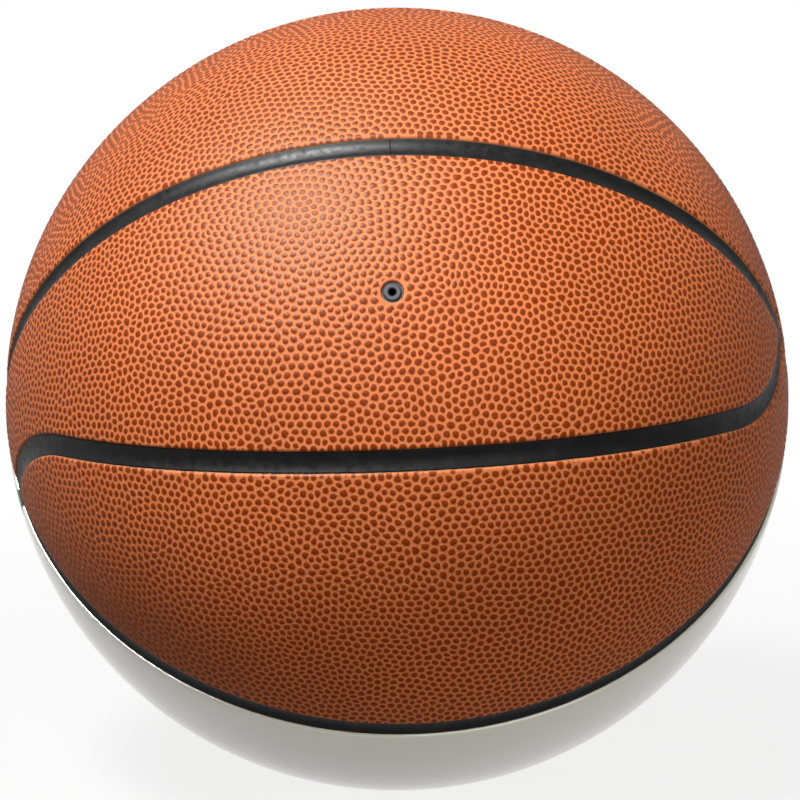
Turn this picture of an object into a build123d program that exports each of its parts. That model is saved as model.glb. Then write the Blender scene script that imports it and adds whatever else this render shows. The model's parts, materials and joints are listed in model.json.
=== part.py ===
from build123d import *
import math
import os

# A size 7 basketball: eight cover panels cemented between the ribs of a rubber carcass, over a wound
# yarn shell and an air bladder, with a valve that takes an inflating needle.
# Origin at the ball's centre, +Z up. The two ring seams cross at +X and -X, and the weaving seam runs
# across the front (-Y), the top (+Z), the back (+Y) and the bottom (-Z). Lengths in mm, angles in degrees.

# The ball and its layers, from the outside in
ball_circumference = 749.3
panel_thickness = 1.9
carcass_thickness = 1.0
winding_thickness = 0.5
bladder_thickness = 0.8
bond_gap = 0.15

# The channels: between the panels' rolled edges a rib has two narrow lands and a hollow middle.
# At a crossing one seam runs through, so each kind of seam is hollowed to a depth of its own.
channel_width = 6.0
channel_edge_drop = 0.8
channel_land = 0.35
upper_ring_hollow = 0.66
lower_ring_hollow = 0.6
weave_hollow = 0.54
panel_edge_radius = 0.9

# The weaving seam: how far its long runs lean towards the turns at their ends, and how far the poles of
# those turns stand towards the crossings of the rings
weave_tilt = 1.3
turn_pole_latitude = 46.0

# Where the ring seams' sweeps begin, away from every crossing
ring_start = 65.0

# The valve, half-way up the front upper panel and a little to one side of its middle
valve_rise = 22.7
valve_along = -1.35
panel_hole_diameter = 6.3
panel_hole_roll = 0.5
nose_gap = 0.1
nose_recess = 1.0
stem_diameter = 9.0
stem_gap = 0.1
flange_diameter = 30.0
flange_thickness = 1.1
flange_rim_thickness = 0.35
flange_taper = 6.0
flange_root = 1.4
disc_diameter = 42.0
disc_thickness = 0.6
barrel_end_wall = 1.6
barrel_round = 1.3
air_hole_diameter = 2.6

# The plug that the needle goes through
plug_length = 15.0
plug_recess = 0.55
plug_head_diameter = 5.1
plug_head_length = 5.0
plug_body_diameter = 4.3
plug_end_taper = 0.7
plug_edge_radius = 0.35
plug_clearance = 0.05
needle_hole_diameter = 2.0
needle_guide_length = 8.0
needle_lead_in = 0.4

# How far cutting shapes run past what they cut
overrun = 1.0

# Radii of the layers
ball_radius = ball_circumference / (2 * math.pi)
panel_inner = ball_radius - panel_thickness
carcass_outer = panel_inner - bond_gap
carcass_inner = carcass_outer - carcass_thickness
winding_outer = carcass_inner - bond_gap
winding_inner = winding_outer - winding_thickness
bladder_outer = winding_inner - bond_gap
bladder_inner = bladder_outer - bladder_thickness
disc_outer = bladder_inner - bond_gap
disc_inner = disc_outer - disc_thickness
flange_outer = disc_inner - bond_gap
flange_inner = flange_outer - flange_thickness
rib_top = ball_radius - channel_edge_drop

# Directions of the ring seams, and the weaving seam's turn from its front run to its top run
centre = Vector(0, 0, 0)
across = Vector(1, 0, 0)
upper_ring_axis = Vector(0, 1, 1).normalized()
lower_ring_axis = Vector(0, 1, -1).normalized()
upper_ring_front = Vector(0, -1, 1).normalized()
front = Vector(0, -1, 0)
top = Vector(0, 0, 1)
front_run_axis = Axis(centre, top.rotate(Axis.Y, -weave_tilt))
top_run_axis = Axis(centre, Vector(0, 1, 0).rotate(Axis.Z, -weave_tilt))
front_run_way = front_run_axis.direction.cross(front)
pole_latitude = math.radians(turn_pole_latitude)
turn_pole = across * math.sin(pole_latitude) + upper_ring_front * math.cos(pole_latitude)
turn_radius_angle = math.degrees(math.asin(turn_pole.dot(front_run_axis.direction)))
foot_angle = math.degrees(math.atan2(turn_pole.dot(front_run_way), turn_pole.dot(front)))

# The half turns that carry the seams onto themselves
half_turns = [Rotation(0, 0, 0), Rotation(180, 0, 0), Rotation(0, 180, 0), Rotation(0, 0, 180)]
about_x, about_y = half_turns[1], half_turns[2]

# The valve's own plane: local X across it, local Y out along its axis
valve_axis = front.rotate(Axis.X, -valve_rise).rotate(Axis.Z, valve_along)
valve_across = across.rotate(Axis.Z, valve_along)
valve_plane = Plane(origin=centre, x_dir=valve_across, z_dir=valve_across.cross(valve_axis))


# A ball whose poles and seam line lie in the upper ring seam, so that no panel holds them
def ball(radius):
    return Plane(origin=centre, x_dir=upper_ring_front, z_dir=across) * Sphere(radius)


def shell(outer, inner):
    return ball(outer) - ball(inner)


# Height above the ball's centre of a point of a sphere, at a distance from the axis
def height_on(radius, distance):
    return math.sqrt(radius**2 - distance**2)


# A stretch of seam: a section, upright on the seam's line, swept round an axis from a starting point
def seam_sweep(section, axis, polar_angle, start, sweep):
    polar = math.radians(polar_angle)
    meridian = (start - axis * start.dot(axis)).normalized()
    outwards = axis * math.cos(polar) + meridian * math.sin(polar)
    sideways = meridian * math.cos(polar) - axis * math.sin(polar)
    upright = Plane(origin=centre, x_dir=sideways, z_dir=sideways.cross(outwards))
    return revolve(upright * section, Axis(centre, axis), revolution_arc=sweep)


def ring_seam(section, axis):
    return seam_sweep(section, axis, 90, across.rotate(Axis(centre, axis), ring_start), 360)


# The weaving seam's run across the front
def front_run(section):
    start = front.rotate(front_run_axis, -foot_angle)
    return seam_sweep(section, front_run_axis.direction, 90, start, 2 * foot_angle)


# The weaving seam's run across the top
def top_run(section):
    start = top.rotate(top_run_axis, -foot_angle)
    return seam_sweep(section, top_run_axis.direction, 90, start, 2 * foot_angle)


# The weaving seam's turn over the upper ring, from the front run's end to the top run's
def front_turn(section):
    front_foot = front.rotate(front_run_axis, foot_angle)
    top_foot = top.rotate(top_run_axis, foot_angle)
    first, last = (foot - turn_pole * foot.dot(turn_pole) for foot in (front_foot, top_foot))
    return seam_sweep(section, turn_pole, turn_radius_angle, front_foot, first.get_angle(last))


# Section of a slot with walls square to the ball's surface
def slot_section(width, inner, outer):
    return Pos(0, (inner + outer) / 2) * Rectangle(width, outer - inner)


# Section of the hollow along a rib: an arc through the inner edges of its two lands
def hollow_section(depth):
    half_width = channel_width / 2 - channel_land
    floor = height_on(rib_top, half_width) - depth
    arc_radius = (half_width**2 + depth**2) / (2 * depth)
    mouth = rib_top + overrun
    half_mouth = height_on(arc_radius, floor + arc_radius - mouth)
    arc = ThreePointArc((-half_mouth, mouth), (0, floor), (half_mouth, mouth))
    return make_face([arc, Line(arc @ 1, arc @ 0)])


# One panel's share of a shell: the front part between the rings, above the weaving seam
def front_upper_piece(layer, section):
    half = (layer - ring_seam(section, upper_ring_axis)).solids().sort_by(Axis.Y)[0]
    lune = (half - ring_seam(section, lower_ring_axis)).solids().sort_by(Axis.Y)[0]
    turn = front_turn(section)
    weave = front_run(section) + turn + about_y * turn
    return (lune - weave).solids().sort_by(Axis.Z)[-1]


# The eight places of a panel: half turns of the front upper one, and of its image over the upper ring
def eight_places(piece):
    image = mirror(piece, about=Plane(origin=centre, z_dir=upper_ring_axis)).solids()[0]
    places = {}
    for name, turn in zip(("front_upper", "back_lower", "front_lower", "back_upper"), half_turns):
        places["panel_" + name] = turn * piece
    for name, turn in zip(("top_front", "bottom_back", "bottom_front", "top_back"), half_turns):
        places["panel_" + name] = turn * image
    return places


# A straight round hole along the valve's axis, through the layer between two radii
def valve_hole(diameter, inner, outer):
    middle = valve_axis * ((inner + outer) / 2)
    return Plane(origin=middle, z_dir=valve_axis) * Cylinder(diameter / 2, outer - inner + 2 * overrun)


# A piece turned about the valve's axis from its outline in the valve's plane
def valve_turning(outline):
    return revolve(valve_plane * make_face(outline), Axis(centre, valve_axis))


# A quarter round of an outline, from one point to another about its own centre
def quarter_round(start, end, about):
    to_start = Vector(start) - Vector(about)
    to_end = Vector(end) - Vector(about)
    middle = Vector(about) + (to_start + to_end).normalized() * to_start.length
    return ThreePointArc(start, middle, end)


# An arc of a sphere about the ball's centre, between two distances from the valve's axis
def sphere_arc(radius, first, last):
    points = [(distance, height_on(radius, distance)) for distance in (first, (first + last) / 2, last)]
    return ThreePointArc(*points)


# Cover panels: one is cut and its outer edges rolled, the rest are its turned and mirrored copies
def make_panels():
    slot = slot_section(channel_width + 2 * bond_gap, panel_inner - overrun, ball_radius + overrun)
    blank = front_upper_piece(shell(ball_radius, panel_inner), slot)
    outer_face = blank.faces().filter_by(GeomType.SPHERE).sort_by(SortBy.AREA)[-1]
    panels = eight_places(blank.fillet(panel_edge_radius, outer_face.edges()))
    holed = panels["panel_front_upper"] - valve_hole(panel_hole_diameter, panel_inner, ball_radius)
    mouth = holed.edges().sort_by_distance(valve_axis * ball_radius)[0]
    panels["panel_front_upper"] = holed.solids()[0].fillet(panel_hole_roll, [mouth])
    return panels


# Carcass: a shell as high as its ribs, with a pocket sunk for each panel and the ribs' tops hollowed
def make_carcass():
    slot = slot_section(channel_width, carcass_outer - overrun, rib_top + 2 * overrun)
    pocket = front_upper_piece(shell(rib_top + overrun, carcass_outer), slot)
    carcass = shell(rib_top, carcass_inner)
    for sunk in eight_places(pocket).values():
        carcass -= sunk
    weave = hollow_section(weave_hollow)
    for run in (front_run(weave), top_run(weave)):
        carcass -= run
        carcass -= about_x * run
    turn = front_turn(weave)
    for place in half_turns:
        carcass -= place * turn
    carcass -= ring_seam(hollow_section(upper_ring_hollow), upper_ring_axis)
    carcass -= ring_seam(hollow_section(lower_ring_hollow), lower_ring_axis)
    return carcass - valve_hole(stem_diameter + 2 * stem_gap, carcass_inner, carcass_outer)


# A plain inner layer, pierced for the valve's stem
def pierced_layer(outer, inner):
    return shell(outer, inner) - valve_hole(stem_diameter + 2 * stem_gap, inner, outer)


# Reinforcing disc: a dished ring between the bladder's wall and the valve's flange
def make_valve_disc():
    hole = stem_diameter / 2 + stem_gap
    rim = disc_diameter / 2
    outside = sphere_arc(disc_outer, hole, rim)
    inside = sphere_arc(disc_inner, rim, hole)
    return valve_turning([outside, Line(outside @ 1, inside @ 0), inside, Line(inside @ 1, outside @ 0)])


# Heights along the valve's axis that the plug and its housing share
plug_top = ball_radius - plug_recess
plug_shoulder = plug_top - plug_head_length
plug_bottom = plug_top - plug_length


# Valve housing: nose in the panel's hole, stem through the layers, dished flange and barrel inside
def make_valve_housing():
    head_bore = plug_head_diameter / 2 + plug_clearance
    body_bore = plug_body_diameter / 2 + plug_clearance
    nose = panel_hole_diameter / 2 - nose_gap
    stem = stem_diameter / 2
    rim = flange_diameter / 2
    air_hole = air_hole_diameter / 2
    nose_top = ball_radius - nose_recess
    stem_top = height_on(carcass_outer, stem)
    step = plug_shoulder - plug_clearance
    seat = plug_bottom - plug_clearance
    end = seat - barrel_end_wall
    flange_top = sphere_arc(flange_outer, stem, rim)
    flange_back = sphere_arc(flange_inner, rim - flange_taper, stem + flange_root)
    end_flat = stem - barrel_round
    side_end = end + barrel_round
    barrel_edge = quarter_round((stem, side_end), (end_flat, end), (end_flat, side_end))
    bore = Polyline(
        barrel_edge @ 1,
        (air_hole, end),
        (air_hole, seat),
        (body_bore, seat),
        (body_bore, step),
        (head_bore, step),
        (head_bore, nose_top),
        (nose, nose_top),
        (nose, stem_top),
        (stem, stem_top),
        flange_top @ 0,
    )
    rim_bottom = height_on(flange_outer - flange_rim_thickness, rim)
    rim_edge = Polyline(flange_top @ 1, (rim, rim_bottom), flange_back @ 0)
    root = Polyline(flange_back @ 1, (stem, height_on(flange_inner, stem) - flange_root), barrel_edge @ 0)
    return valve_turning([bore, flange_top, rim_edge, flange_back, root, barrel_edge])


# Valve plug: a headed rubber plug with a needle guide that ends blind, where the closed slit begins
def make_valve_plug():
    head = plug_head_diameter / 2
    body = plug_body_diameter / 2
    needle = needle_hole_diameter / 2
    guide_top = plug_top - needle_lead_in
    guide_end = guide_top - needle_guide_length
    flat = head - plug_edge_radius
    side_top = plug_top - plug_edge_radius
    face_edge = quarter_round((head, side_top), (flat, plug_top), (flat, side_top))
    outside = Polyline(
        (0, guide_end - needle),
        (0, plug_bottom),
        (body - plug_end_taper, plug_bottom),
        (body, plug_bottom + plug_end_taper),
        (body, plug_shoulder),
        (head, plug_shoulder),
        face_edge @ 0,
    )
    guide = Polyline(
        face_edge @ 1,
        (needle + needle_lead_in, plug_top),
        (needle, guide_top),
        (needle, guide_end),
        (0, guide_end - needle),
    )
    return valve_turning([outside, face_edge, guide])


nodes = make_panels()
nodes["carcass"] = make_carcass()
nodes["yarn_winding"] = pierced_layer(winding_outer, winding_inner)
nodes["bladder"] = pierced_layer(bladder_outer, bladder_inner)
nodes["valve_disc"] = make_valve_disc()
nodes["valve_housing"] = make_valve_housing()
nodes["valve_plug"] = make_valve_plug()

os.makedirs("parts", exist_ok=True)
for name, node in nodes.items():
    export_step(node, f"parts/{name}.step")
    print(name, round(node.volume, 1))
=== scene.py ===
import json
import math
import random

import bmesh
import bpy
import numpy as np
from mathutils import Matrix, Vector


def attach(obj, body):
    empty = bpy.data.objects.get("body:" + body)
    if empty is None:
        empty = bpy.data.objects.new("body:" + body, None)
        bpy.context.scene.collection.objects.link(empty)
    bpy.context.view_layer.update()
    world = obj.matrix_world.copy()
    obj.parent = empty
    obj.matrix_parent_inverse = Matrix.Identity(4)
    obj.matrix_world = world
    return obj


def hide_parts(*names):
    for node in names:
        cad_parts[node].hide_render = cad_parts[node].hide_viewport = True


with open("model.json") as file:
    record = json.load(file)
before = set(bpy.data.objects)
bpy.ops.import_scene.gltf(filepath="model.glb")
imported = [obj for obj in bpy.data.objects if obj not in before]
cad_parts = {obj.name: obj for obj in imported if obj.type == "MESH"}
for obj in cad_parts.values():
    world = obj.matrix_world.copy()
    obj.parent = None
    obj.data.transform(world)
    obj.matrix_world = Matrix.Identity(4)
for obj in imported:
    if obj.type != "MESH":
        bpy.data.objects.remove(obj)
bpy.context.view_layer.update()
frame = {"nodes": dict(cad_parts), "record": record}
nodes = frame["nodes"]
scene = bpy.context.scene
scene.view_settings.view_transform = "Standard"
mm = 0.001
hair = 1e-7  # how near counts as on a cutting plane
print("frame loaded,", len(nodes), "nodes")


# Where the channels run: two rings that cross at +X and -X, and one weaving seam
seams = {
    "ballRadius": 749.3 * mm / math.tau,
    "wallHalf": 3.15 * mm,  # from a channel's middle to the cover's wall
    "weaveTilt": math.radians(1.3),  # the weave's long runs lean towards their turns
    "turnLatitude": math.radians(46),
    "edgeReach": 0.12 * mm,  # how near counts as on a piece's edge
    "weldGap": 0.1 * mm,  # points of an edge nearer than this become one
}
radius = seams["ballRadius"]
front = Vector((0, -1, 0))
halfTurn = Vector((-1, 1, -1))  # carries the right end of the front run to the left end
ringUpper = Vector((0, 1, 1)).normalized()
ringLower = Vector((0, 1, -1)).normalized()
weaveUp = Vector((-math.sin(seams["weaveTilt"]), 0, math.cos(seams["weaveTilt"])))
weaveAlong = weaveUp.cross(front)
turnAcross = math.cos(seams["turnLatitude"]) / math.sqrt(2)
turnAlong = math.sin(seams["turnLatitude"])
turnRight = Vector((turnAlong, -turnAcross, turnAcross))  # the weave bends up round this pole
turnLeft = turnRight * halfTurn  # and down round this one
turnRadius = math.asin(turnRight.dot(weaveUp))
turnFoot = math.atan2(turnRight.dot(weaveAlong), turnRight.dot(front))
zoneRight = weaveAlong * math.cos(turnFoot) - front * math.sin(turnFoot)
zoneLeft = zoneRight * halfTurn
valveAxis = Vector(frame["record"]["behaviour"]["joints"][0]["axis"])

# Each cover piece is the front upper one, turned or mirrored into its own place
places = {
    "front_upper": ((1, 0, 0), (0, 1, 0), (0, 0, 1)),
    "front_lower": ((-1, 0, 0), (0, 1, 0), (0, 0, -1)),
    "top_front": ((1, 0, 0), (0, 0, -1), (0, -1, 0)),
    "top_back": ((-1, 0, 0), (0, 0, 1), (0, -1, 0)),
    "back_upper": ((-1, 0, 0), (0, -1, 0), (0, 0, 1)),
    "back_lower": ((1, 0, 0), (0, -1, 0), (0, 0, -1)),
    "bottom_front": ((-1, 0, 0), (0, 0, -1), (0, 1, 0)),
    "bottom_back": ((1, 0, 0), (0, 0, 1), (0, 1, 0)),
}


def placeMatrix(place):
    return Matrix(places[place]).to_4x4()


def roomToSeam(point):
    # distance over the ball from a point of the front upper piece to the nearest channel's middle
    spot = point.normalized() * radius
    room = min(-spot.dot(ringUpper), -spot.dot(ringLower))
    if spot.dot(zoneRight) > 0:
        return min(room, radius * (turnRadius - spot.angle(turnRight)))
    if spot.dot(zoneLeft) > 0:
        return min(room, radius * (spot.angle(turnLeft) - turnRadius))
    return min(room, spot.dot(weaveUp))


def sidesAt(point, half):
    # which way the channel lies at a point of the piece's edge; two ways at a corner
    spot = point.normalized() * radius
    up = spot.normalized()
    near = seams["edgeReach"]
    ways = []
    for ring in (ringUpper, ringLower):
        if abs(spot.dot(ring) + half) < near:
            ways.append(ring)
    if spot.dot(zoneRight) > 0:
        if abs(radius * (turnRadius - spot.angle(turnRight)) - half) < near:
            ways.append(-turnRight)
    elif spot.dot(zoneLeft) > 0:
        if abs(radius * (spot.angle(turnLeft) - turnRadius) - half) < near:
            ways.append(turnLeft)
    elif abs(spot.dot(weaveUp) - half) < near:
        ways.append(-weaveUp)
    return [(way - up * way.dot(up)).normalized() for way in ways]


def allOf(bm):
    return bm.verts[:] + bm.edges[:] + bm.faces[:]


def vertsOf(geom):
    return [part for part in geom if isinstance(part, bmesh.types.BMVert)]


def edgesOf(geom):
    return [part for part in geom if isinstance(part, bmesh.types.BMEdge)]


def cutAway(bm, faces, point, normal):
    # a dictionary, because it keeps the parts in one order
    geom = dict.fromkeys(part for face in faces for part in (face, *face.edges, *face.verts))
    bmesh.ops.bisect_plane(
        bm, geom=list(geom), dist=hair, plane_co=point, plane_no=normal, clear_outer=True)


def trimToSeams(bm, inset):
    half = seams["wallHalf"] + inset
    swing = math.asin(half / radius)
    for ring in (ringUpper, ringLower):
        cutAway(bm, bm.faces[:], ring * -half, ring)
    for zone in (zoneRight, zoneLeft):
        # split where a turn begins, so that run and turns are each cut by their own plane
        line = bmesh.ops.bisect_plane(bm, geom=allOf(bm), dist=hair, plane_co=(0, 0, 0), plane_no=zone)
        bmesh.ops.split_edges(bm, edges=edgesOf(line["geom_cut"]))
    right = [face for face in bm.faces if face.calc_center_median().dot(zoneRight) > 0]
    cutAway(bm, right, turnRight * radius * math.cos(turnRadius - swing), -turnRight)
    left = [face for face in bm.faces if face.calc_center_median().dot(zoneLeft) > 0]
    cutAway(bm, left, turnLeft * radius * math.cos(turnRadius + swing), turnLeft)
    run = []
    for face in bm.faces:
        middle = face.calc_center_median()
        if middle.dot(zoneRight) < 0 and middle.dot(zoneLeft) < 0:
            run.append(face)
    cutAway(bm, run, weaveUp * half, -weaveUp)
    border = [vert for vert in bm.verts if vert.is_boundary]
    bmesh.ops.remove_doubles(bm, verts=border, dist=seams["weldGap"])


def fromAxis(point):
    return (point - valveAxis * point.dot(valveAxis)).length


# Cover pieces: pebbled orange ones and smooth cream ones
coverValues = {
    "thickness": 1.9 * mm,
    "roll": 0.9 * mm,  # the edge turns down into the channel on this radius
    "rollSteps": 5,
    "lipFrom": 0.35,  # the share of the roll over which the edge takes its own tint
    "lipTo": 0.95,
    "sharpAngle": math.radians(50),
    "smoothSplits": 6,  # fineness of the smooth pieces' mesh
    "pebbleSplits": 7,  # fineness of the layout before some pebbles go
    "pebblePitch": 2.58 * mm,
    "pebbleRelief": 0.26 * mm,
    "pebbleFlank": 0.5,  # the share of a pebble's height value over which its side rises
    "pebbleRound": 0.134,  # the height value where three pebbles meet, which rounds their outlines
    "pebbleFade": 0.7 * mm,  # pebbles flatten towards the edge over this width
    "pebbleShuffle": 0.15,  # share of the pitch by which pebbles start out of line
    "pebbleThinning": 1.12,  # makes up for the pebbles that find no neighbour left to merge with
    "pebbleCrowding": 1.1,  # neighbours settle towards this many pitches apart
    "pebblePush": 0.1,  # the share of the misfit by which each of two neighbours moves in one step
    "pebbleRounds": 10,
    "pebbleSteps": 4,
    "pebbleSeed": 11,
    "holeRadius": 3.15 * mm,
    "holeRoll": 0.5 * mm,
    "holeFlat": 3.75 * mm,  # no pebbles stand inside this radius
    "holeFade": 4.4 * mm,
    "holeReach": 10 * mm,  # an open edge as near the valve's axis as this is the hole's
}


def smoothStep(low, high, value):
    share = min(max((value - low) / (high - low), 0), 1)
    return share * share * (3 - 2 * share)


def ontoBall(bm, size):
    for vert in bm.verts:
        vert.co = vert.co.normalized() * size


def pebbleLayout():
    # an even layout that loses some pebbles, then settles until the rest are evenly spread again
    values = coverValues
    draw = random.Random(values["pebbleSeed"])
    bm = bmesh.new()
    bmesh.ops.create_icosphere(bm, subdivisions=values["pebbleSplits"], radius=radius)
    spare = {}  # the share of the pebbles that is too many round each one
    for vert in bm.verts:
        room = sum(edge.calc_length() for edge in vert.link_edges) / len(vert.link_edges)
        spare[vert] = (1 - (room / values["pebblePitch"]) ** 2) * values["pebbleThinning"]
    for vert in bm.verts:
        step = Vector((draw.gauss(0, 1), draw.gauss(0, 1), draw.gauss(0, 1)))
        vert.co += step * values["pebblePitch"] * values["pebbleShuffle"]
    verts = bm.verts[:]
    draw.shuffle(verts)
    taken = set()
    merged = []
    for vert in verts:
        if draw.random() > spare[vert] or vert in taken:
            continue
        free = [edge for edge in vert.link_edges if edge.other_vert(vert) not in taken]
        if free:
            merged.append(draw.choice(free))
            taken.update(merged[-1].verts)
    bmesh.ops.collapse(bm, edges=merged)
    ontoBall(bm, radius)
    rest = values["pebblePitch"] * values["pebbleCrowding"]
    for settle in range(values["pebbleRounds"]):
        bmesh.ops.beautify_fill(bm, faces=bm.faces[:], edges=bm.edges[:], method="ANGLE")
        bm.verts.index_update()
        ends = np.array([(edge.verts[0].index, edge.verts[1].index) for edge in bm.edges])
        spots = np.array([vert.co for vert in bm.verts])
        for step in range(values["pebbleSteps"]):
            span = spots[ends[:, 1]] - spots[ends[:, 0]]
            length = np.linalg.norm(span, axis=1, keepdims=True)
            push = span * (length - rest) / length * values["pebblePush"]
            for axis in range(3):
                spots[:, axis] += np.bincount(ends[:, 0], push[:, axis], len(spots))
                spots[:, axis] -= np.bincount(ends[:, 1], push[:, axis], len(spots))
            spots *= radius / np.linalg.norm(spots, axis=1, keepdims=True)
        for vert, spot in zip(bm.verts, spots):
            vert.co = spot
    print("pebbles laid out over the ball:", len(bm.verts))
    return bm


def byValve(spot, reach):
    return spot.dot(valveAxis) > 0 and fromAxis(spot) < reach


def holeEdges(edges):
    return [edge for edge in edges if byValve(edge.verts[0].co, coverValues["holeReach"])]


def openEdges(edges):
    return [edge for edge in edges if edge.is_boundary]


def openHole(bm, level):
    # the valve's opening: a flat round rim inside the ragged edge where the pebbles stop
    gone = [vert for vert in bm.verts if byValve(vert.co, coverValues["holeFlat"])]
    bmesh.ops.delete(bm, geom=gone, context="VERTS")
    ragged = holeEdges(openEdges(bm.edges))
    made = bmesh.ops.extrude_edge_only(bm, edges=ragged)["geom"]
    rim = coverValues["holeRadius"] + coverValues["holeRoll"]
    for vert in vertsOf(made):
        out = vert.co - valveAxis * vert.co.dot(valveAxis)
        out.normalize()
        vert.co = out * rim + valveAxis * math.sqrt(level * level - rim * rim)
    return openEdges(edgesOf(made))


def rollDown(bm, edges, roll, drop):
    # the edge turns down on a round and then goes straight to the underside
    base = bm.verts.layers.float_vector["lipBase"]
    way = bm.verts.layers.float_vector["lipWay"]
    lip = bm.verts.layers.float["lip"]
    steps = coverValues["rollSteps"]
    moves = []
    for step in range(1, steps + 1):
        angle = math.pi / 2 * step / steps
        turned = smoothStep(coverValues["lipFrom"], coverValues["lipTo"], step / steps)
        moves.append((roll * math.sin(angle), roll * (1 - math.cos(angle)), turned))
    moves.append((roll, drop, 1))
    for across, down, turned in moves:
        made = bmesh.ops.extrude_edge_only(bm, edges=edges)["geom"]
        for vert in vertsOf(made):
            start = vert[base]
            vert.co = start + vert[way] * across - start.normalized() * down
            vert[lip] = turned
        edges = openEdges(edgesOf(made))
    return edges


def miter(ways):
    if len(ways) == 1:
        return ways[0]
    return (ways[0] + ways[1]) / (1 + ways[0].dot(ways[1]))


def halveEdges(bm):
    made = bmesh.ops.subdivide_edges(bm, edges=bm.edges[:], cuts=1, use_grid_fill=True)
    return vertsOf(made["geom_inner"])


def coverPiece(place, layout, pebbled):
    values = coverValues
    turn = placeMatrix(place)
    holed = place == "front_upper"
    outer = radius - (values["pebbleRelief"] / 2 if pebbled else 0)
    inner = radius - values["thickness"]
    edgeHalf = seams["wallHalf"] + values["roll"]
    bm = layout.copy()
    bmesh.ops.transform(bm, matrix=turn.inverted(), verts=bm.verts[:])
    reach = {vert: roomToSeam(vert.co) for vert in bm.verts}
    far = [face for face in bm.faces if max(reach[vert] for vert in face.verts) < 0]
    bmesh.ops.delete(bm, geom=far, context="FACES")
    under = bm.copy()  # the underside keeps the coarse layout

    pebble = bm.verts.layers.float.new("pebble")
    lip = bm.verts.layers.float.new("lip")
    base = bm.verts.layers.float_vector.new("lipBase")
    way = bm.verts.layers.float_vector.new("lipWay")
    if pebbled:
        for vert in bm.verts:
            vert[pebble] = 1
        for vert in halveEdges(bm):
            vert[pebble] = 0  # the valleys between pebbles
        for vert in halveEdges(bm):
            vert[pebble] = max(vert[pebble], values["pebbleRound"])
    ontoBall(bm, radius)
    trimToSeams(bm, values["roll"])
    for vert in bm.verts:
        if vert.is_boundary:
            vert[base] = vert.co.normalized() * outer
            ways = sidesAt(vert.co, edgeHalf)
            if ways:
                vert[way] = miter(ways)
    for vert in bm.verts:
        level = outer
        if pebbled:
            fade = smoothStep(0, values["pebbleFade"], roomToSeam(vert.co) - edgeHalf)
            if holed:
                clear = smoothStep(values["holeFlat"], values["holeFade"], fromAxis(vert.co))
                fade *= clear
                vert[pebble] *= clear
            rise = smoothStep(0, values["pebbleFlank"], vert[pebble])
            level += values["pebbleRelief"] * fade * (rise - 0.5)  # half of it up, half down
        vert.co = vert.co.normalized() * level
    loops = [rollDown(bm, openEdges(bm.edges), values["roll"], values["thickness"])]
    if holed:
        rim = openHole(bm, outer)
        for edge in rim:
            for vert in edge.verts:
                vert[base] = vert.co
                out = vert.co - valveAxis * vert.co.dot(valveAxis)
                vert[way] = -out.normalized()
                vert[pebble] = 0
        loops.append(rollDown(bm, rim, values["holeRoll"], values["thickness"]))
    print(place, "cover: skin", len(bm.faces), "faces")

    ontoBall(under, radius)
    trimToSeams(under, 0)
    ontoBall(under, inner)
    if holed:
        openHole(under, inner)
    bmesh.ops.reverse_faces(under, faces=under.faces[:])
    lower = bpy.data.meshes.new("underside")
    under.to_mesh(lower)
    under.free()
    before = set(bm.edges)
    bm.from_mesh(lower)
    bpy.data.meshes.remove(lower)
    rims = openEdges([edge for edge in bm.edges if edge not in before])
    joined = rims + [edge for loop in loops for edge in loop]
    if holed:
        inHole = holeEdges(joined)
        joined = [edge for edge in joined if edge not in set(inHole)]
        bmesh.ops.bridge_loops(bm, edges=inHole)
    bmesh.ops.bridge_loops(bm, edges=joined)
    for spare in ("lipBase", "lipWay"):
        bm.verts.layers.float_vector.remove(bm.verts.layers.float_vector[spare])
    bmesh.ops.transform(bm, matrix=turn, verts=bm.verts[:])
    bmesh.ops.triangulate(bm, faces=[face for face in bm.faces if len(face.verts) > 4])
    bmesh.ops.recalc_face_normals(bm, faces=bm.faces[:])
    return finishPiece(bm, place + "_cover", "ball", "panel_" + place)


def finishPiece(bm, name, body, replaced):
    mesh = bpy.data.meshes.new(name)
    bm.to_mesh(mesh)
    bm.free()
    mesh.polygons.foreach_set("use_smooth", [True] * len(mesh.polygons))
    mesh.set_sharp_from_angle(angle=coverValues["sharpAngle"])
    piece = bpy.data.objects.new(name, mesh)
    scene.collection.objects.link(piece)
    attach(piece, body)
    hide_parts(replaced)
    mesh.calc_loop_triangles()
    print(name, len(mesh.loop_triangles), "triangles")
    return piece


# What the materials share
noiseValues = {
    "low": 0.3,  # a noise keeps between these two nearly everywhere
    "high": 0.7,
    "middle": 0.5,
    "driftDetail": 3,
    "grainDetail": 4,
    "grainRoughness": 0.6,
}


def newMaterial(name):
    material = bpy.data.materials.new(name)
    material.use_nodes = True
    tree = material.node_tree
    return material, tree, tree.nodes["Principled BSDF"]


def addNode(tree, kind, inputs=(), **settings):
    node = tree.nodes.new(kind)
    for key, value in settings.items():
        setattr(node, key, value)
    for key, value in dict(inputs).items():
        node.inputs[key].default_value = value
    return node


def srgb(red, green, blue):
    out = []
    for part in (red, green, blue):
        share = part / 255
        out.append(share / 12.92 if share <= 0.04045 else ((share + 0.055) / 1.055) ** 2.4)
    return (*out, 1)


def newGroup(name, given, made):
    group = bpy.data.node_groups.new(name, "ShaderNodeTree")
    for label, kind in given.items():
        group.interface.new_socket(label, in_out="INPUT", socket_type="NodeSocket" + kind)
    for label, kind in made.items():
        group.interface.new_socket(label, in_out="OUTPUT", socket_type="NodeSocket" + kind)
    return group, group.nodes.new("NodeGroupInput"), group.nodes.new("NodeGroupOutput")


def noiseSwing(tree, reach):
    # spreads a noise over -reach to reach
    span = {"From Min": noiseValues["low"], "From Max": noiseValues["high"]}
    return addNode(tree, "ShaderNodeMapRange", span | {"To Min": -reach, "To Max": reach})


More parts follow.
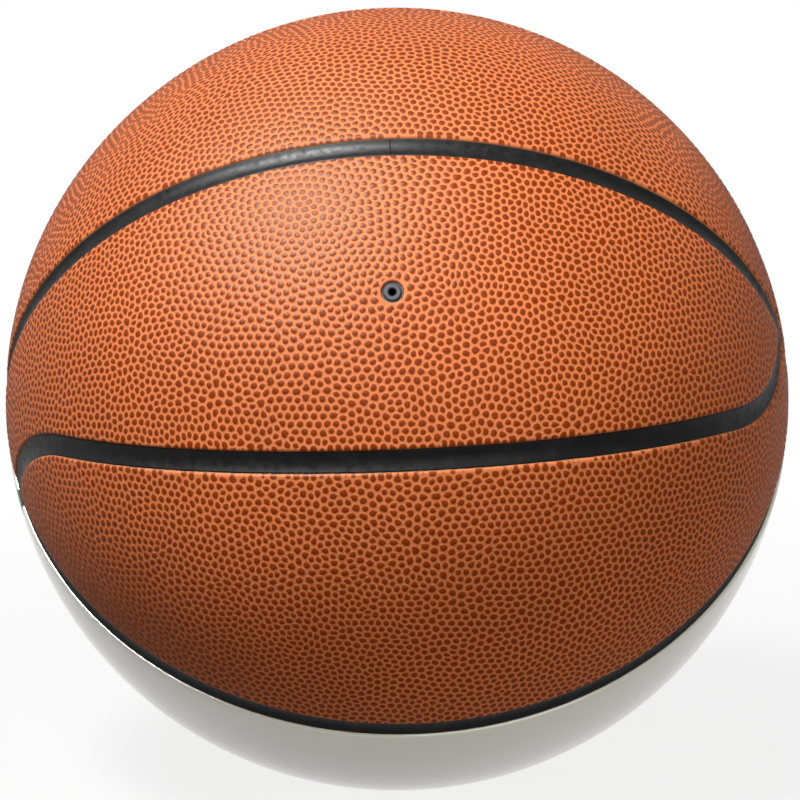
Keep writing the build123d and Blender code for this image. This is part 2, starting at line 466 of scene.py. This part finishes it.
def makeToneDrift():
    # slow light and dark patches over a colour
    group, given, made = newGroup(
        "tone_drift", {"Colour": "Color", "Spread": "Float", "Strength": "Float"}, {"Colour": "Color"})
    place = addNode(group, "ShaderNodeTexCoord")
    cloud = addNode(group, "ShaderNodeTexNoise", {"Detail": noiseValues["driftDetail"]})
    swing = noiseSwing(group, 1)
    amount = addNode(group, "ShaderNodeMath", operation="MULTIPLY_ADD")
    amount.inputs[2].default_value = 1
    tone = addNode(group, "ShaderNodeHueSaturation")
    group.links.new(place.outputs["Object"], cloud.inputs["Vector"])
    group.links.new(given.outputs["Spread"], cloud.inputs["Scale"])
    group.links.new(cloud.outputs["Fac"], swing.inputs["Value"])
    group.links.new(swing.outputs["Result"], amount.inputs[0])
    group.links.new(given.outputs["Strength"], amount.inputs[1])
    group.links.new(amount.outputs[0], tone.inputs["Value"])
    group.links.new(given.outputs["Colour"], tone.inputs["Color"])
    group.links.new(tone.outputs["Color"], made.inputs["Colour"])
    return group


def makeFineGrain():
    # small unevenness of a moulded surface: a height for bump, and a roughness that goes with it
    group, given, made = newGroup(
        "fine_grain", {"Spread": "Float", "Roughness": "Float", "Variation": "Float"},
        {"Height": "Float", "Roughness": "Float"})
    place = addNode(group, "ShaderNodeTexCoord")
    grain = addNode(group, "ShaderNodeTexNoise")
    grain.inputs["Detail"].default_value = noiseValues["grainDetail"]
    grain.inputs["Roughness"].default_value = noiseValues["grainRoughness"]
    swing = noiseSwing(group, 0.5)
    rough = addNode(group, "ShaderNodeMath", operation="MULTIPLY_ADD", use_clamp=True)
    group.links.new(place.outputs["Object"], grain.inputs["Vector"])
    group.links.new(given.outputs["Spread"], grain.inputs["Scale"])
    group.links.new(grain.outputs["Fac"], swing.inputs["Value"])
    group.links.new(swing.outputs["Result"], rough.inputs[0])
    group.links.new(given.outputs["Variation"], rough.inputs[1])
    group.links.new(given.outputs["Roughness"], rough.inputs[2])
    group.links.new(grain.outputs["Fac"], made.inputs["Height"])
    group.links.new(rough.outputs[0], made.inputs["Roughness"])
    return group


toneDrift = makeToneDrift()
fineGrain = makeFineGrain()


def drift(tree, colour, spread, strength):
    node = addNode(tree, "ShaderNodeGroup", node_tree=toneDrift)
    node.inputs["Spread"].default_value = spread
    node.inputs["Strength"].default_value = strength
    if isinstance(colour, tuple):
        node.inputs["Colour"].default_value = colour
    else:
        tree.links.new(colour, node.inputs["Colour"])
    return node.outputs["Colour"]


def raiseSurface(tree, shader, height, values):
    bump = addNode(tree, "ShaderNodeBump")
    bump.inputs["Strength"].default_value = values["bumpStrength"]
    bump.inputs["Distance"].default_value = values["bumpDepth"]
    tree.links.new(height, bump.inputs["Height"])
    tree.links.new(bump.outputs["Normal"], shader.inputs["Normal"])


def grain(tree, shader, values):
    # wires the grain's bump into the shader, and gives its roughness back
    node = addNode(tree, "ShaderNodeGroup", node_tree=fineGrain)
    node.inputs["Spread"].default_value = values["grainSpread"]
    node.inputs["Roughness"].default_value = values["roughness"]
    node.inputs["Variation"].default_value = values["roughnessVariation"]
    raiseSurface(tree, shader, node.outputs["Height"], values)
    return node.outputs["Roughness"]


def blend(tree, factor, first, second):
    node = addNode(tree, "ShaderNodeMix", data_type="RGBA")
    tree.links.new(factor, node.inputs["Factor"])
    for socket, colour in (("A", first), ("B", second)):
        if isinstance(colour, tuple):
            node.inputs[socket].default_value = colour
        else:
            tree.links.new(colour, node.inputs[socket])
    return node.outputs["Result"]


def blendValue(tree, factor, first, second):
    node = addNode(tree, "ShaderNodeMix", {"B": second}, data_type="FLOAT")
    tree.links.new(factor, node.inputs["Factor"])
    if isinstance(first, (int, float)):
        node.inputs["A"].default_value = first
    else:
        tree.links.new(first, node.inputs["A"])
    return node.outputs["Result"]


def ramp(tree, value, low, high):
    # 0 below low, 1 above high, and a soft step between them
    node = addNode(tree, "ShaderNodeMapRange", interpolation_type="SMOOTHSTEP")
    node.inputs["From Min"].default_value = low
    node.inputs["From Max"].default_value = high
    tree.links.new(value, node.inputs["Value"])
    return node.outputs["Result"]


def paint(tree, shader, colour, values):
    toned = drift(tree, colour, values["driftSpread"], values["driftStrength"])
    tree.links.new(toned, shader.inputs["Base Color"])


def objectSpot(tree):
    return addNode(tree, "ShaderNodeTexCoord").outputs["Object"]


# Orange cover: pale valleys, darker and glossier pebble tops
orangeValues = {
    "valley": srgb(238, 135, 81),
    "top": srgb(146, 57, 10),
    "lip": srgb(206, 136, 94),
    "topFrom": 0.14,  # the pebble's height over which the tint turns from valley to top
    "topTo": 0.36,
    "wobble": 0.12,  # unevenness of the pebbles' outlines
    "wobbleSpread": 900,
    "wobbleDetail": 2,
    "driftSpread": 22,
    "driftStrength": 0.06,
    "spotSpread": 380,  # one pebble lighter, the next darker
    "spotStrength": 0.1,
    "roughness": 0.6,
    "topRoughness": 0.42,
    "roughnessVariation": 0.16,
    "grainSpread": 2600,
    "bumpStrength": 0.25,
    "bumpDepth": 0.06 * mm,
    "specular": 0.08,
    "glint": (0.85, 0.8, 0.62, 1),  # the gloss is a little warm
}


def orangeCover():
    values = orangeValues
    material, tree, shader = newMaterial("orange_cover")
    height = addNode(tree, "ShaderNodeAttribute", attribute_name="pebble")
    edge = addNode(tree, "ShaderNodeAttribute", attribute_name="lip")
    noise = addNode(tree, "ShaderNodeTexNoise")
    noise.inputs["Scale"].default_value = values["wobbleSpread"]
    noise.inputs["Detail"].default_value = values["wobbleDetail"]
    tree.links.new(objectSpot(tree), noise.inputs["Vector"])
    centred = addNode(tree, "ShaderNodeMath", operation="SUBTRACT")
    centred.inputs[1].default_value = noiseValues["middle"]
    tree.links.new(noise.outputs["Fac"], centred.inputs[0])
    uneven = addNode(tree, "ShaderNodeMath", operation="MULTIPLY_ADD")
    uneven.inputs[1].default_value = values["wobble"]
    tree.links.new(centred.outputs[0], uneven.inputs[0])
    tree.links.new(height.outputs["Fac"], uneven.inputs[2])
    top = ramp(tree, uneven.outputs[0], values["topFrom"], values["topTo"])
    tops = drift(tree, values["top"], values["spotSpread"], values["spotStrength"])
    pebbles = blend(tree, top, values["valley"], tops)
    paint(tree, shader, blend(tree, edge.outputs["Fac"], pebbles, values["lip"]), values)
    rough = blendValue(tree, top, grain(tree, shader, values), values["topRoughness"])
    tree.links.new(rough, shader.inputs["Roughness"])
    shader.inputs["Specular IOR Level"].default_value = values["specular"]
    shader.inputs["Specular Tint"].default_value = values["glint"]
    return material


# Cream cover: smooth, under a clear glossy coat
creamValues = {
    "base": srgb(244, 238, 213),
    "lip": srgb(232, 226, 206),
    "driftSpread": 16,
    "driftStrength": 0.02,
    "roughness": 0.42,
    "roughnessVariation": 0.12,
    "grainSpread": 1400,
    "bumpStrength": 0.12,
    "bumpDepth": 0.05 * mm,
    "specular": 0.4,
    "coat": 1.0,
    "lipCoat": 0.1,  # the coat is thin where the edge turns down
    "coatRoughness": 0.12,
    "coatIor": 2.3,
}


def creamCover():
    values = creamValues
    material, tree, shader = newMaterial("cream_cover")
    edge = addNode(tree, "ShaderNodeAttribute", attribute_name="lip")
    paint(tree, shader, blend(tree, edge.outputs["Fac"], values["base"], values["lip"]), values)
    tree.links.new(grain(tree, shader, values), shader.inputs["Roughness"])
    shader.inputs["Specular IOR Level"].default_value = values["specular"]
    coat = blendValue(tree, edge.outputs["Fac"], values["coat"], values["lipCoat"])
    tree.links.new(coat, shader.inputs["Coat Weight"])
    shader.inputs["Coat Roughness"].default_value = values["coatRoughness"]
    shader.inputs["Coat IOR"].default_value = values["coatIor"]
    return material


# Channel rubber: black, with dull and glossy patches and the joint where the strip's two ends meet
channelValues = {
    "base": srgb(13, 13, 14),
    "dust": srgb(30, 30, 30),
    "dustSpread": 160,
    "dustDetail": 5,
    "dustFrom": 0.5,  # the noise over which the dust comes in
    "dustTo": 0.75,
    "joint": srgb(4, 4, 4),
    "jointSpot": Vector((-2.1 * mm, -84.3 * mm, 84.3 * mm)),
    "jointReach": 6 * mm,
    "jointWidth": 0.4 * mm,
    "jointRoughness": 0.95,
    "driftSpread": 60,
    "driftStrength": 0.2,
    "roughness": 0.46,
    "roughnessVariation": 0.26,
    "grainSpread": 500,
    "bumpStrength": 0.3,
    "bumpDepth": 0.08 * mm,
    "specular": 0.09,
}


def channelRubber():
    values = channelValues
    material, tree, shader = newMaterial("channel_rubber")
    spot = objectSpot(tree)
    patches = addNode(tree, "ShaderNodeTexNoise")
    patches.inputs["Scale"].default_value = values["dustSpread"]
    patches.inputs["Detail"].default_value = values["dustDetail"]
    tree.links.new(spot, patches.inputs["Vector"])
    dusty = ramp(tree, patches.outputs["Fac"], values["dustFrom"], values["dustTo"])
    worn = blend(tree, dusty, values["base"], values["dust"])
    away = addNode(tree, "ShaderNodeVectorMath", operation="DISTANCE")
    away.inputs[1].default_value = values["jointSpot"]
    tree.links.new(spot, away.inputs[0])
    close = addNode(tree, "ShaderNodeMath", operation="LESS_THAN")
    close.inputs[1].default_value = values["jointReach"]
    tree.links.new(away.outputs["Value"], close.inputs[0])
    parts = addNode(tree, "ShaderNodeSeparateXYZ")
    tree.links.new(spot, parts.inputs[0])
    line = addNode(tree, "ShaderNodeMath", operation="COMPARE")
    line.inputs[1].default_value = values["jointSpot"].x
    line.inputs[2].default_value = values["jointWidth"] / 2
    tree.links.new(parts.outputs["X"], line.inputs[0])
    joint = addNode(tree, "ShaderNodeMath", operation="MULTIPLY")
    tree.links.new(close.outputs[0], joint.inputs[0])
    tree.links.new(line.outputs[0], joint.inputs[1])
    paint(tree, shader, blend(tree, joint.outputs[0], worn, values["joint"]), values)
    dull = blendValue(tree, joint.outputs[0], grain(tree, shader, values), values["jointRoughness"])
    tree.links.new(dull, shader.inputs["Roughness"])
    shader.inputs["Specular IOR Level"].default_value = values["specular"]
    return material


# Valve plug: grey rubber, with painted shade down its needle hole and in a ring round the face's edge
plugValues = {
    "base": srgb(80, 82, 86),
    # painted shade in a ring round the face's edge, where it meets the gap
    "rim": srgb(34, 33, 33),
    # painted shade down the needle hole
    "hole": srgb(9, 9, 9),
    "holeRadius": 1.0 * mm,
    "holeEdge": 0.25 * mm,
    "rimShadeFrom": 1.85 * mm,
    "rimShadeTo": 2.5 * mm,
    "driftSpread": 700,
    "driftStrength": 0.16,
    "roughness": 0.5,
    "roughnessVariation": 0.2,
    "grainSpread": 2200,
    "bumpStrength": 0.4,
    "bumpDepth": 0.08 * mm,
    "specular": 0.12,
}


def plugRubber():
    values = plugValues
    material, tree, shader = newMaterial("plug_rubber")
    across = addNode(tree, "ShaderNodeVectorMath", operation="CROSS_PRODUCT")
    across.inputs[1].default_value = valveAxis
    tree.links.new(objectSpot(tree), across.inputs[0])
    out = addNode(tree, "ShaderNodeVectorMath", operation="LENGTH")
    tree.links.new(across.outputs["Vector"], out.inputs[0])
    reach = values["holeRadius"] + values["holeEdge"]
    # painted shade inside the needle hole, fading out past its edge
    pastHoleShade = ramp(tree, out.outputs["Value"], values["holeRadius"], reach)
    # painted shade darkening the face towards its edge
    intoRimShade = ramp(tree, out.outputs["Value"], values["rimShadeFrom"], values["rimShadeTo"])
    faceWithRimShade = blend(tree, intoRimShade, values["base"], values["rim"])
    paint(tree, shader, blend(tree, pastHoleShade, values["hole"], faceWithRimShade), values)
    tree.links.new(grain(tree, shader, values), shader.inputs["Roughness"])
    shader.inputs["Specular IOR Level"].default_value = values["specular"]
    return material


# Moulded rubber of the pieces inside: the valve's housing, the bladder and its disc
housingValues = {
    # dark rubber, tinted brown as a painted reflection of the orange cover's wall round it
    "base": srgb(44, 28, 20),
    "driftSpread": 300,
    "driftStrength": 0.2,
    "roughness": 0.62,
    "roughnessVariation": 0.2,
    "grainSpread": 1500,
    "bumpStrength": 0.3,
    "bumpDepth": 0.06 * mm,
    "specular": 0.25,
}
bladderValues = {
    "base": srgb(30, 29, 28),
    "driftSpread": 40,
    "driftStrength": 0.25,
    "roughness": 0.58,
    "roughnessVariation": 0.25,
    "grainSpread": 500,
    "bumpStrength": 0.3,
    "bumpDepth": 0.1 * mm,
    "specular": 0.3,
}


def mouldedRubber(name, values):
    material, tree, shader = newMaterial(name)
    paint(tree, shader, values["base"], values)
    tree.links.new(grain(tree, shader, values), shader.inputs["Roughness"])
    shader.inputs["Specular IOR Level"].default_value = values["specular"]
    return material


# Yarn winding: pale threads that cross in three directions, dipped in latex
yarnValues = {
    "thread": srgb(222, 214, 192),
    "gap": srgb(120, 100, 70),
    "threadScale": 260,
    "threadWaver": 0.6,
    "threadDetail": 1,
    "turns": ((0.3, 0.2, 0.5), (1.4, 0.5, 2.1), (0.8, 1.9, 1.2)),
    "driftSpread": 30,
    "driftStrength": 0.12,
    "roughness": 0.7,
    "bumpStrength": 0.5,
    "bumpDepth": 0.2 * mm,
}


def yarnCover():
    values = yarnValues
    material, tree, shader = newMaterial("nylon_yarn")
    spot = objectSpot(tree)
    layers = None
    for turn in values["turns"]:
        turned = addNode(tree, "ShaderNodeMapping", {"Rotation": turn})
        tree.links.new(spot, turned.inputs["Vector"])
        threads = addNode(tree, "ShaderNodeTexWave")
        threads.inputs["Scale"].default_value = values["threadScale"]
        threads.inputs["Distortion"].default_value = values["threadWaver"]
        threads.inputs["Detail"].default_value = values["threadDetail"]
        tree.links.new(turned.outputs["Vector"], threads.inputs["Vector"])
        if layers is None:
            layers = threads.outputs["Fac"]
            continue
        over = addNode(tree, "ShaderNodeMath", operation="MAXIMUM")
        tree.links.new(layers, over.inputs[0])
        tree.links.new(threads.outputs["Fac"], over.inputs[1])
        layers = over.outputs[0]
    paint(tree, shader, blend(tree, layers, values["gap"], values["thread"]), values)
    raiseSurface(tree, shader, layers, values)
    shader.inputs["Roughness"].default_value = values["roughness"]
    return material


orange = orangeCover()
cream = creamCover()
butyl = mouldedRubber("butyl_rubber", bladderValues)
finishes = {
    "carcass": channelRubber(),
    "valve_plug": plugRubber(),
    "valve_housing": mouldedRubber("valve_rubber", housingValues),
    "yarn_winding": yarnCover(),
    "bladder": butyl,
    "valve_disc": butyl,
}
for name, finish in finishes.items():
    nodes[name].data.materials.clear()
    nodes[name].data.materials.append(finish)
print("materials made")

pebbleMap = pebbleLayout()
smoothMap = bmesh.new()
bmesh.ops.create_icosphere(smoothMap, subdivisions=coverValues["smoothSplits"], radius=radius)
orangePlaces = ("front_upper", "front_lower", "top_front", "top_back")
for place in places:
    pebbled = place in orangePlaces
    piece = coverPiece(place, pebbleMap if pebbled else smoothMap, pebbled)
    piece.data.materials.append(orange if pebbled else cream)
pebbleMap.free()
smoothMap.free()


# Floor, world, lamps and camera
stageValues = {
    "floorSize": 20,
    "floorGap": 0.02 * mm,
    "floorColour": (0.83, 0.83, 0.825, 1),  # as the camera and mirrors see it
    "floorBounce": (0.05, 0.05, 0.049, 1),  # as it lights the ball from below
    "floorNear": 0.12,  # the shadow zone, past which the floor runs into plain white
    "floorFar": 0.6,
    "shadowLift": 0.84,  # how far the shadow zone is already white
    "ambient": 0.03,
    "keyPower": 21.5,
    "keySize": 0.4,
    "keyFrom": Vector((-0.29, -0.46, 0.84)),
    "keyDistance": 1.5,
    "fillPower": 16,
    "fillSize": 1.2,
    "fillFrom": Vector((0.30, -0.94, 0.15)),
    "fillDistance": 2.0,
    "glowPower": 210,  # a broad soft box that shows in the gloss alone
    "glowSize": 0.8,
    "glowFrom": Vector((-0.38, -0.41, 0.83)),
    "glowDistance": 1.5,
    "rearPower": 30,  # lights the side away from the camera, and leaves no glint
    "rearSize": 0.5,
    "rearFrom": Vector((0, 0.99, -0.10)),
    "rearDistance": 2.0,
}

floorMesh = bpy.data.meshes.new("floor")
bm = bmesh.new()
bmesh.ops.create_grid(bm, x_segments=2, y_segments=2, size=stageValues["floorSize"])
bmesh.ops.translate(bm, verts=bm.verts[:], vec=(0, 0, -radius - stageValues["floorGap"]))
bm.to_mesh(floorMesh)
bm.free()
floor = bpy.data.objects.new("floor", floorMesh)
scene.collection.objects.link(floor)


def cameraOrMirror(tree):
    path = addNode(tree, "ShaderNodeLightPath")
    first = addNode(tree, "ShaderNodeMath", operation="MAXIMUM")
    second = addNode(tree, "ShaderNodeMath", operation="MAXIMUM")
    tree.links.new(path.outputs["Is Camera Ray"], first.inputs[0])
    tree.links.new(path.outputs["Is Glossy Ray"], first.inputs[1])
    tree.links.new(first.outputs[0], second.inputs[0])
    tree.links.new(path.outputs["Is Transmission Ray"], second.inputs[1])
    return second.outputs[0]


floorLook, tree, shader = newMaterial("pale_floor")
tree.nodes.remove(shader)
shown = addNode(tree, "ShaderNodeBsdfDiffuse")
shown.inputs["Color"].default_value = stageValues["floorColour"]
bounce = addNode(tree, "ShaderNodeBsdfDiffuse")
bounce.inputs["Color"].default_value = stageValues["floorBounce"]
white = addNode(tree, "ShaderNodeEmission")
place = addNode(tree, "ShaderNodeTexCoord")
reach = addNode(tree, "ShaderNodeVectorMath", operation="LENGTH")
tree.links.new(place.outputs["Object"], reach.inputs[0])
spread = addNode(tree, "ShaderNodeMapRange", interpolation_type="SMOOTHSTEP")
spread.inputs["From Min"].default_value = stageValues["floorNear"]
spread.inputs["From Max"].default_value = stageValues["floorFar"]
spread.inputs["To Min"].default_value = stageValues["shadowLift"]
tree.links.new(reach.outputs["Value"], spread.inputs["Value"])
away = addNode(tree, "ShaderNodeMixShader")
tree.links.new(spread.outputs["Result"], away.inputs[0])
tree.links.new(shown.outputs[0], away.inputs[1])
tree.links.new(white.outputs[0], away.inputs[2])
either = addNode(tree, "ShaderNodeMixShader")
tree.links.new(cameraOrMirror(tree), either.inputs[0])
tree.links.new(bounce.outputs[0], either.inputs[1])
tree.links.new(away.outputs[0], either.inputs[2])
tree.links.new(either.outputs[0], tree.nodes["Material Output"].inputs["Surface"])
floorMesh.materials.append(floorLook)

world = bpy.data.worlds.new("studio")
world.use_nodes = True
scene.world = world
tree = world.node_tree
sky = tree.nodes["Background"]
sky.inputs["Color"].default_value = (1, 1, 1, 1)
level = addNode(tree, "ShaderNodeMapRange")
level.inputs["To Min"].default_value = stageValues["ambient"]
level.inputs["To Max"].default_value = 1
tree.links.new(cameraOrMirror(tree), level.inputs["Value"])
tree.links.new(level.outputs["Result"], sky.inputs["Strength"])


def softLamp(name):
    lamp = bpy.data.lights.new(name, "AREA")
    lamp.energy = stageValues[name + "Power"]
    lamp.size = stageValues[name + "Size"]
    holder = bpy.data.objects.new(name, lamp)
    way = stageValues[name + "From"].normalized()
    holder.location = way * stageValues[name + "Distance"]
    holder.rotation_mode = "QUATERNION"
    holder.rotation_quaternion = way.to_track_quat("Z", "Y")
    scene.collection.objects.link(holder)
    return holder


softLamp("key")
softLamp("fill")
softLamp("glow").visible_diffuse = False
softLamp("rear").visible_glossy = False

imageSize = 800  # pixels across
cameraValues = {
    "back": Vector((-0.0159, -0.9895, 0.1436)).normalized(),
    "right": Vector((0.99969, -0.01848, -0.01666)),
    "distance": 1167.1 * mm,
    "lens": 171.5,
    "sensor": 36,
    "shiftX": 2.9 / imageSize,
    "shiftY": -0.94 / imageSize,
    "clipStart": 0.01,
    "clipEnd": 100,
}
lens = bpy.data.cameras.new("camera")
lens.lens = cameraValues["lens"]
lens.sensor_width = cameraValues["sensor"]
lens.shift_x = cameraValues["shiftX"]
lens.shift_y = cameraValues["shiftY"]
lens.clip_start = cameraValues["clipStart"]
lens.clip_end = cameraValues["clipEnd"]
camera = bpy.data.objects.new("camera", lens)
back = cameraValues["back"]
up = back.cross(cameraValues["right"]).normalized()
across = up.cross(back)
camera.matrix_world = Matrix((across, up, back)).transposed().to_4x4()
camera.location = back * cameraValues["distance"]
scene.collection.objects.link(camera)
scene.camera = camera
print("stage set")

bpy.context.view_layer.update()
